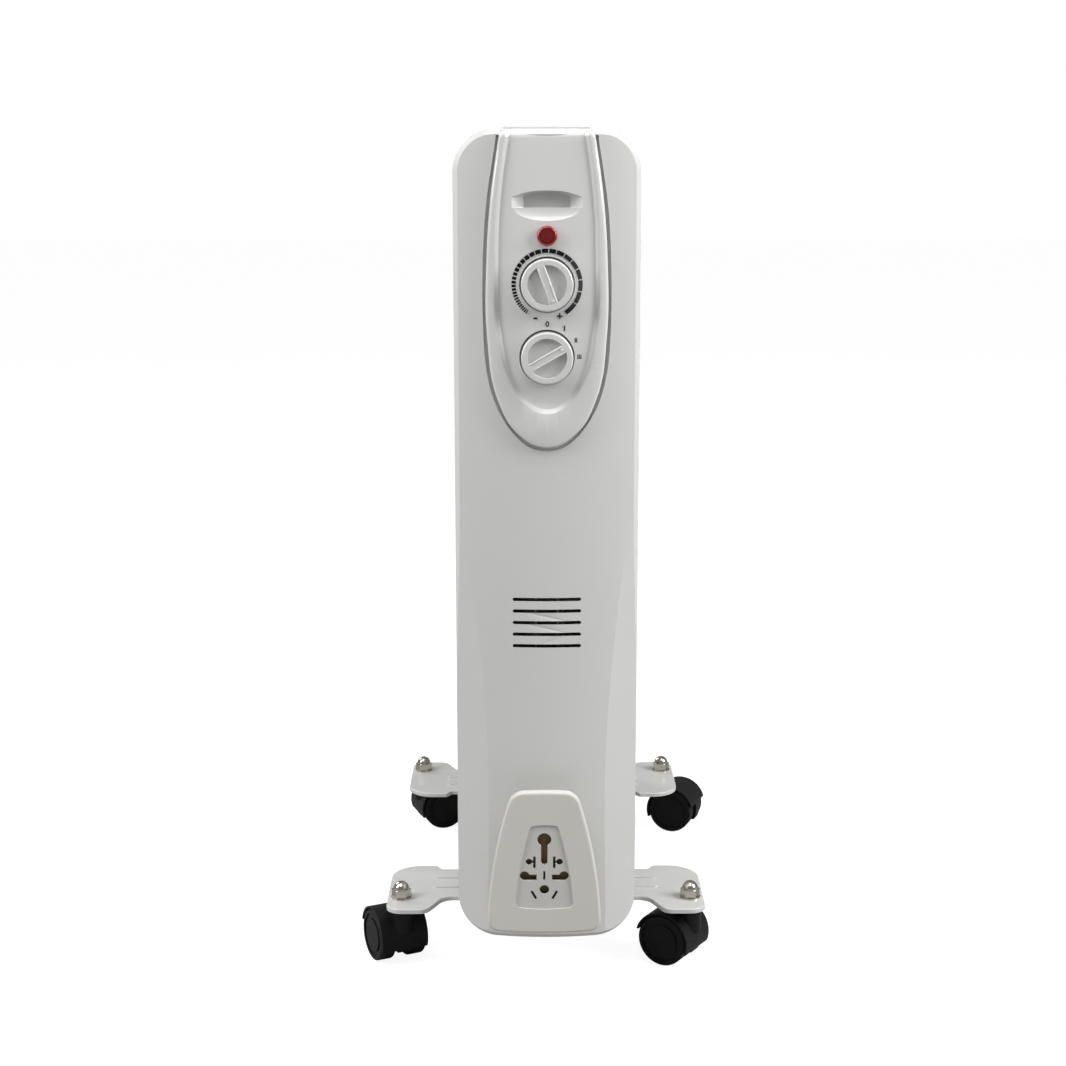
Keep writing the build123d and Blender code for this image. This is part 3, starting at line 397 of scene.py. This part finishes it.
RIM_RISE = 4.0
FIELD_RISE = 1.5
RIM = ((31.0, 640), (38.4, 590), (41.7, 545), (41.4, 491), (34.3, 449), (18.8, 424)), 415.9
FIELD = ((24.0, 638), (30.2, 597), (32.9, 550), (30.5, 491), (20.6, 459), (10.0, 446.5)), 443.0
PANEL_ENDS = (0, 2 * len(RIM[0]))
PANEL_LOOPS = (  # outline, how far in from it, rise above the cover's face
    (RIM, 0.0, -11),
    (RIM, 0.0, RIM_RISE - 2.0),
    (RIM, 0.35, RIM_RISE - 1.0),
    (RIM, 1.1, RIM_RISE - 0.3),
    (RIM, 2.2, RIM_RISE),
    (FIELD, -3.6, RIM_RISE),
    (FIELD, -2.9, RIM_RISE - 0.25),
    (FIELD, -0.5, FIELD_RISE + 0.25),
    (FIELD, 0.3, FIELD_RISE),
)
PANEL_TRIM = 632.6
TOP_ROLL = 5.0
ROLL_DEPTH = 0.8
FACING = Matrix.Rotation(pi / 2, 4, "X")  # stands a flat drawing up, facing the front

panel = bridged("control_panel_shell", [
    loop_mesh(ring(*outline, inward), lambda x: face_depth(x, rise), PANEL_ENDS)
    for outline, inward, rise in PANEL_LOOPS
])
# the top is trimmed level, the field is cut into strips that follow the crown of the cover, and the
# last few millimetres roll back over the cover's top edge
bpy.ops.object.mode_set(mode="EDIT")
bpy.ops.mesh.select_all(action="SELECT")
bpy.ops.mesh.bisect(plane_co=(0, 0, PANEL_TRIM * MM), plane_no=(0, 0, 1), use_fill=True, clear_outer=True)
slice_across((1, 0, 0), range(-30, 31, 2))
slice_across((0, 0, 1), [*range(448, 627, 5), *range(627, 633)])
bpy.ops.object.mode_set(mode="OBJECT")
for corner in panel.data.vertices:
    past = max(corner.co.z / MM - PANEL_TRIM + TOP_ROLL, 0)
    corner.co.y += (TOP_ROLL - max(TOP_ROLL**2 - past**2, 0) ** 0.5) * MM * ROLL_DEPTH

# the finger pull: a deep pocket with sloping ends under an arched brow, and a shallow scoop below it
PULL_FLOOR = 580.7
PULL_BROW = ((25.2, 588), (14, 591.4), (0, 592.5), (-14, 591.4), (-25.2, 588))
PULL_DEEP_BROW = ((16, 588.6), (9, 590.4), (0, 590.9), (-9, 590.4), (-16, 588.6))
PULL_FRONT, PULL_EDGE, PULL_BACK = -252, -240.8, -233
PULL_CORNERS = (0, 4, 5, 6, 7)
SCOOP_DEPTH = -242.0
brow = [Vector((x, 0, z)) for x, z in PULL_BROW]
base = [Vector((x, 0, PULL_FLOOR)) for x in (-25.2, 0, 25.2)]
deep_brow = [Vector((x, 0, z)) for x, z in PULL_DEEP_BROW]
deep_base = [Vector((x, 0, PULL_FLOOR + 0.6)) for x in (-16, 0, 16)]
cut(panel, bridged("pull_tool", [
    loop_mesh(brow + base, PULL_FRONT, PULL_CORNERS),
    loop_mesh(brow + base, PULL_EDGE, PULL_CORNERS),
    loop_mesh(deep_brow + deep_base, PULL_BACK, PULL_CORNERS),
]))
bpy.ops.mesh.primitive_uv_sphere_add(segments=64, ring_count=32, radius=1)
scoop = bpy.context.object
scoop.data.transform(moved(0, SCOOP_DEPTH, PULL_FLOOR) @ sized(26, 4.2, 9.3))
cut(panel, scoop)

# round holes for the lens and the two knobs
LENS_AT = 561.8
THERMOSTAT_AT = 528.8
SELECTOR_AT = 478.9
LENS_HOLE = 6.9
KNOB_HOLE = 19.1
for height, radius in ((LENS_AT, LENS_HOLE), (THERMOSTAT_AT, KNOB_HOLE), (SELECTOR_AT, KNOB_HOLE)):
    bpy.ops.mesh.primitive_cylinder_add(vertices=96, radius=radius * MM, depth=30 * MM)
    drill = bpy.context.object
    drill.data.transform(moved(0, -240, height) @ FACING)
    cut(panel, drill)
take_up(panel)
bpy.ops.object.shade_smooth_by_angle(angle=radians(24))


def within(place, height, radius):
    """One inside a circle of this radius about the panel's middle line, in millimetres, zero outside."""
    vector = "ShaderNodeVectorMath"
    flat = place.node(vector, {"operation": "MULTIPLY"}, {0: place, 1: (1 / MM, 0, 1 / MM)})
    away = flat.node(vector, {"operation": "DISTANCE"}, {0: flat, 1: (0, 0, height)}, out="Value")
    return away < radius


def glossy(name, shaded_knob_holes=()):
    """Glossy white ABS with the faint ripple of its mould, and painted shade in the round knob holes at
    these heights: near-black brown, for the shaded gap round each knob.
    """
    material, place = new_finish(name, Coat_Weight=0.6, Coat_Roughness=0.04, IOR=1.5)
    tint = place.noise(14, 2.0).mixed((0.60, 0.60, 0.59), (0.63, 0.63, 0.62))
    for height in shaded_knob_holes:
        # painted shade: each knob hole is coloured near-black brown, standing in for the shadow in the gap
        # round the knob
        painted_gap_shade = place.noise(200, 2.0).mixed((0.012, 0.006, 0.003), (0.03, 0.015, 0.008))
        tint = within(place, height, KNOB_HOLE + 0.06).mixed(tint, painted_gap_shade)
    feed(
        material,
        Base_Color=tint,
        Roughness=0.15 + 0.08 * place.noise(90, 3.0),
        Normal=place.noise(150, 1.0).bump(0.05, 0.0003),
    )
    return material


# the holes round both knobs get painted shade
panel.data.materials.append(glossy("panel_white_abs", (THERMOSTAT_AT, SELECTOR_AT)))
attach(panel, "root")
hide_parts("control_panel")

# --- Top trim -----------------------------------------------------------------------------------------
# A flat plate of the panel's glossy white ABS with softened edges, which carries the panel's line
# back over the top of the control box. It is fixed through two small holes near its front edge.
gloss_white = glossy("gloss_white_abs")
eased("top_trim", 0.4, gloss_white)

# --- Printed scale ------------------------------------------------------------------------------------
# Marks pad-printed on the panel in thin black ink, coloured greyer towards the right: a ring of bars that
# grow clockwise round the thermostat, its end signs, and the four switch places.
BARS = 30
BAR_START = -144.0
BAR_FIRST = 1.6
BAR_GROWTH = 1.094
BAR_GAP = 1.9
BAR_INNER = 21.6
BAR_OUTER = 24.5
INK_FILM = 0.04
INK_SPREAD = 0.13
SIGNS = (  # sign, place across and up, size
    ("-", -8.0, 506.6, 10.0), ("+", 8.8, 506.9, 8.0), ("0", 0.2, 501.7, 5.2),
    ("I", 12.0, 498.7, 5.2), ("II", 20.0, 490.5, 4.2), ("III", 22.4, 479.1, 4.2),
)
bars = []
reached = BAR_START
for number in range(BARS):
    length = BAR_FIRST * BAR_GROWTH**number
    bars.append((reached, reached + length))
    reached += length + BAR_GAP

bpy.ops.object.select_all(action="DESELECT")
bpy.ops.mesh.primitive_circle_add(vertices=1440, radius=BAR_INNER * MM)
scale = bpy.context.object
bpy.ops.object.mode_set(mode="EDIT")
bpy.ops.mesh.select_all(action="SELECT")
bpy.ops.mesh.extrude_region_move()
bpy.ops.transform.resize(value=(BAR_OUTER / BAR_INNER, BAR_OUTER / BAR_INNER, 1))
shell = bmesh.from_edit_mesh(scale.data)
for strip in shell.faces:
    middle = strip.calc_center_median()
    turned = degrees(atan2(middle.x, middle.y))
    strip.select = not any(first <= turned <= last for first, last in bars)
bpy.ops.mesh.delete(type="FACE")
bpy.ops.object.mode_set(mode="OBJECT")
scale.data.transform(moved(0, 0, THERMOSTAT_AT) @ FACING)

marks = [scale]
for sign, x, z, size in SIGNS:
    bpy.ops.object.text_add()
    letter = bpy.context.object
    letter.data.body = sign
    letter.data.size = size * MM
    letter.data.offset = INK_SPREAD * MM
    letter.data.align_x = "CENTER"
    letter.data.align_y = "CENTER"
    bpy.ops.object.convert(target="MESH")
    letter = bpy.context.object
    letter.data.transform(moved(x, 0, z) @ FACING)
    marks.append(letter)
take_up(*marks)
bpy.ops.object.join()
scale.name = "panel_print"
for corner in scale.data.vertices:
    corner.co.y = face_depth(corner.co.x / MM, FIELD_RISE + INK_FILM) * MM
film = scale.modifiers.new("film", "SOLIDIFY")
film.thickness = INK_FILM * MM
bpy.ops.object.modifier_apply(modifier=film.name)

ink, place = new_finish("printed_ink", Specular_IOR_Level=0.15)
across = place.node("ShaderNodeSeparateXYZ", {}, {"Vector": place})
# the ink's colour runs from near black to grey across x, greyer towards the right
greyer_to_right = across.node("ShaderNodeMapRange", {}, {"Value": across, "From Min": 0.010, "From Max": 0.026})
feed(
    ink,
    Base_Color=greyer_to_right.mixed(
        place.noise(900, 3.0).mixed((0.004, 0.004, 0.005), (0.009, 0.009, 0.010)),
        place.noise(900, 3.0).mixed((0.04, 0.04, 0.045), (0.08, 0.08, 0.085)),
    ),
    Roughness=0.3 + 0.1 * place.noise(500, 2.0),
)
scale.data.materials.clear()
scale.data.materials.append(ink)
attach(scale, "root")

# --- Knobs --------------------------------------------------------------------------------------------
# Two round white ABS knobs, each with a dished face and a straight grip bar across it. The upper one
# is pushed on the thermostat's flatted spindle, the lower one on the rotor of the switch.
for knob, turns in (("thermostat_knob", "thermostat_dial"), ("selector_knob", "selector_dial")):
    eased(knob, 0.35, gloss_white, rides=turns)
dress(["switch_rotor"], gloss_white)

# Two thin ridges are moulded along each grip bar, and a small block closes the channel between them
# at the end that points to the scale.
KNOB_FRONT = -252.0
RIDGE_RISE = 0.8
RIDGE_EDGE = 0.25
RIDGE_PARTS = ((-2.2, 0, 0.8, 25), (2.2, 0, 0.8, 25), (0, 11.6, 2.4, 2.0))  # place, width, length
for knob, turns, height, pointing in (
    ("thermostat_ridges", "thermostat_dial", THERMOSTAT_AT, 160),
    ("selector_ridges", "selector_dial", SELECTOR_AT, 60),
):
    ridges = []
    for x, z, wide, long in RIDGE_PARTS:
        bpy.ops.object.select_all(action="DESELECT")
        bpy.ops.mesh.primitive_cube_add(size=1)
        ridge = bpy.context.object
        ridge.data.transform(moved(x, KNOB_FRONT, z) @ sized(wide, RIDGE_RISE, long))
        bpy.ops.object.mode_set(mode="EDIT")
        bpy.ops.mesh.select_all(action="SELECT")
        bpy.ops.mesh.bevel(offset=RIDGE_EDGE * MM, segments=3)
        bpy.ops.object.mode_set(mode="OBJECT")
        ridges.append(ridge)
    take_up(*ridges)
    bpy.ops.object.join()
    ridge = bpy.context.object
    ridge.name = knob
    ridge.data.transform(moved(0, 0, height) @ Matrix.Rotation(radians(pointing), 4, "Y"))
    bpy.ops.object.shade_smooth_by_angle(angle=radians(35))
    ridge.data.materials.append(gloss_white)
    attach(ridge, turns)


# --- Cord wrap and plug park plate --------------------------------------------------------------------
# The wrap is a flange on a hollow neck, moulded in warm white plastic with a fine matt grain and held
# to the cover by screws. The greyer plate is clipped into its front, and its holes park the plug.
def matt(name, low, high, patches, dullness):
    """Matt plastic with a fine grain from its mould, in patches between two tints."""
    material, place = new_finish(name, IOR=1.48)
    feed(
        material,
        Base_Color=place.noise(patches, 3.0).mixed(low, high),
        Roughness=dullness + 0.12 * place.noise(300, 2.0),
        Normal=place.noise(1800, 2.0).bump(0.25, 0.0001),
    )
    return material


wrap_white = matt("warm_white_matte", (0.55, 0.535, 0.50), (0.59, 0.575, 0.54), 25, 0.42)
eased("cord_wrap", 1.0, wrap_white, segments=3)
park_grey = matt("park_plate_grey", (0.50, 0.49, 0.47), (0.54, 0.53, 0.51), 40, 0.45)
eased("plug_park_plate", 0.3, park_grey)

# --- Board behind the plug park -----------------------------------------------------------------------
# A thin brown fibre board behind the plate, which the holes show as their dark brown inside.
BOARD_FRONT = -257.0
BOARD_THICK = 1.5
BOARD_SIDE = ((10.5, 147.0), (13.6, 136), (19.2, 106), (20.6, 92), (16.5, 87.2))
BOARD_EDGE = 0.2
BOARD_MIDDLE = (-2.0, 117)


def board_outline(wide=1.0, tall=1.0):
    """Points round the board, drawn in towards its middle."""
    middle_x, middle_z = BOARD_MIDDLE
    side = [(wide * x, middle_z + tall * (z - middle_z)) for x, z in BOARD_SIDE]
    right = [Vector((middle_x + x, 0, z)) for x, z in side]
    return right + [Vector((middle_x - x, 0, z)) for x, z in reversed(side)]


board = bridged("park_board", [
    loop_mesh(board_outline(), BOARD_FRONT + BOARD_THICK),
    loop_mesh(board_outline(), BOARD_FRONT + BOARD_EDGE),
    loop_mesh(board_outline(0.985, 0.99), BOARD_FRONT),
])
brown_board, place = new_finish("brown_fibre_board")
feed(
    brown_board,
    Base_Color=place.noise(700, 5.0).mixed((0.17, 0.115, 0.045), (0.26, 0.18, 0.085)),
    Roughness=0.7 + 0.2 * place.noise(900, 3.0),
    Normal=place.noise(1400, 3.0).bump(0.3, 0.0001),
)
board.data.materials.append(brown_board)
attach(board, "root")

# --- Caster hoods, wheels and cord gland --------------------------------------------------------------
# Injection moulded black nylon with a satin surface. A hood turns on each stem and covers two wheels
# on one axle. The gland, clamped by its nut in the bottom of the box, is where the cord enters.
CASTERS = ["front_left", "front_right", "rear_left", "rear_right"]
black_nylon, place = new_finish("black_nylon", IOR=1.5, Specular_IOR_Level=0.2)
feed(
    black_nylon,
    Base_Color=place.noise(70, 5.0).mixed((0.0035, 0.0035, 0.0035), (0.009, 0.009, 0.009)),
    Roughness=0.34 + 0.16 * place.noise(220, 4.0),
    Normal=place.noise(1500, 2.0).bump(0.2, 0.00012),
)
for name in CASTERS:
    eased(f"caster_hood_{name}", 0.4, black_nylon, rides=f"caster_{name}")
dress([f"wheel_{name}_{side}" for name in CASTERS for side in "ab"] + ["cord_gland"], black_nylon)

# --- Dome nuts and oil plug ---------------------------------------------------------------------------
# Turned steel, polished and plated with bright nickel. The dome nuts hold the caster stems in the
# feet, and the plug closes the hole through which the last fin was filled with oil.
nickel, place = new_finish("bright_nickel", Metallic=1.0)
feed(
    nickel,
    Base_Color=place.noise(120, 3.0).mixed((0.50, 0.47, 0.42), (0.62, 0.59, 0.54)),
    Roughness=0.10 + 0.14 * place.noise(500, 4.0),
    Normal=place.noise(900, 3.0).bump(0.08, 0.0001),
)
dress(["dome_nuts", "oil_plug"], nickel)

# --- Zinc plated fittings -----------------------------------------------------------------------------
# Bolts, wing nuts, stems, axles and screws of drawn steel, and the pressed plates and clips in the
# control box, all barrel plated with zinc. The two heating elements are steel tubes.
zinc, place = new_finish("zinc_plate", Metallic=1.0)
feed(
    zinc,
    Base_Color=place.noise(90, 4.0).mixed((0.50, 0.50, 0.48), (0.64, 0.64, 0.62)),
    Roughness=0.28 + 0.20 * place.noise(240, 4.0),
    Normal=place.noise(1200, 3.0).bump(0.12, 0.0001),
)
dress(["front_u_bolt", "rear_u_bolt", "wing_nuts", "caster_stems", "cover_screws", "switch_plate",
       "thermostat_frame", "thermostat_spindle", "heating_elements", "cutout_clip"], zinc)
dress([f"caster_axle_{name}" for name in CASTERS], zinc)

# --- Element flange and bimetal strip -----------------------------------------------------------------
# Rolled brass. The flange seals the elements into the bottom of the first fin, and the strip bends
# with the heat until it opens the thermostat's contacts.
brass, place = new_finish("rolled_brass", Metallic=1.0)
feed(
    brass,
    Base_Color=place.noise(80, 4.0).mixed((0.62, 0.44, 0.18), (0.76, 0.58, 0.30)),
    Roughness=0.25 + 0.2 * place.noise(300, 4.0),
)
dress(["element_flange", "bimetal_strip"], brass)

# --- Switch, contact and terminal blocks --------------------------------------------------------------
# Brown phenolic resin, pressed hot in steel moulds. These are the bodies that carry live contacts,
# with the thermal cut-out and the holder of the lamp.
phenolic, place = new_finish("brown_phenolic")
feed(
    phenolic,
    Base_Color=place.noise(160, 5.0).mixed((0.055, 0.030, 0.016), (0.10, 0.058, 0.030)),
    Roughness=0.4 + 0.2 * place.noise(400, 3.0),
)
dress(["contact_block", "switch_body", "terminal_block", "thermal_cutout", "lamp_holder"], phenolic)

# --- Element gasket -----------------------------------------------------------------------------------
# A ring stamped from grey-green fibre sheet, squeezed between the element flange and the fin to keep
# the oil in.
fibre, place = new_finish("gasket_fibre")
feed(
    fibre,
    Base_Color=place.noise(700, 5.0).mixed((0.10, 0.14, 0.11), (0.20, 0.26, 0.20)),
    Roughness=0.7 + 0.2 * place.noise(500, 3.0),
)
dress(["element_gasket"], fibre)

# --- Inner wires --------------------------------------------------------------------------------------
# Stranded copper in cream silicone sleeving, which stands the heat in the control box. The ends are
# crimped and pushed on the blades of the switch, thermostat and elements.
jacket, place = new_finish("silicone_jacket")
feed(
    jacket,
    Base_Color=place.noise(60, 3.0).mixed((0.55, 0.50, 0.42), (0.62, 0.57, 0.49)),
    Roughness=0.5 + 0.1 * place.noise(300, 2.0),
)
dress(["internal_wires"], jacket)

# --- Neon lamp ----------------------------------------------------------------------------------------
# A small blown glass bulb of neon, pushed into its holder behind the red lens. Unlit, its glass has
# a faint orange cast.
lamp_glass, place = new_finish("lamp_glass", Transmission_Weight=0.8, IOR=1.45)
feed(
    lamp_glass,
    Base_Color=place.noise(300, 2.0).mixed((0.85, 0.55, 0.40), (0.95, 0.70, 0.55)),
    Roughness=0.05 + 0.05 * place.noise(300, 2.0),
)
dress(["neon_lamp"], lamp_glass)

# --- Pilot lens ---------------------------------------------------------------------------------------
# A round cap moulded in clear red acrylic and snapped into the panel. A groove rings its middle and is
# coloured near black as painted shade. The middle is broken up into small prisms that spread the light of
# the lamp, and their edges are painted lighter than their facets as glints.
LENS_MIDDLE = 4.6
LENS_GROOVE = 5.3
red_acrylic, place = new_finish("red_acrylic", Coat_Weight=0.8, Coat_Roughness=0.03)
core = within(place, LENS_AT, LENS_MIDDLE)
# painted shade: the groove's ring round the middle is coloured near black
painted_groove_shade = within(place, LENS_AT, LENS_GROOVE) - core
# the prism pattern gives the bumps, and its edges are also painted lighter than the facets, as glints
prisms_and_glints = place.node(
    "ShaderNodeTexVoronoi", {"feature": "DISTANCE_TO_EDGE"}, {"Vector": place, "Scale": 650.0}
)
feed(
    red_acrylic,
    Base_Color=painted_groove_shade.mixed(
        core.mixed(
            place.noise(500, 3.0).mixed((0.30, 0.006, 0.005), (0.42, 0.012, 0.010)),
            prisms_and_glints.mixed((0.16, 0.002, 0.002), (0.03, 0.0008, 0.0008)),
        ),
        place.noise(500, 3.0).mixed((0.006, 0.001, 0.001), (0.014, 0.001, 0.001)),
    ),
    Roughness=0.08 + 0.08 * place.noise(400, 2.0),
    Normal=(core * prisms_and_glints).bump(0.4, 0.0006),
)
dress(["pilot_lens"], red_acrylic)
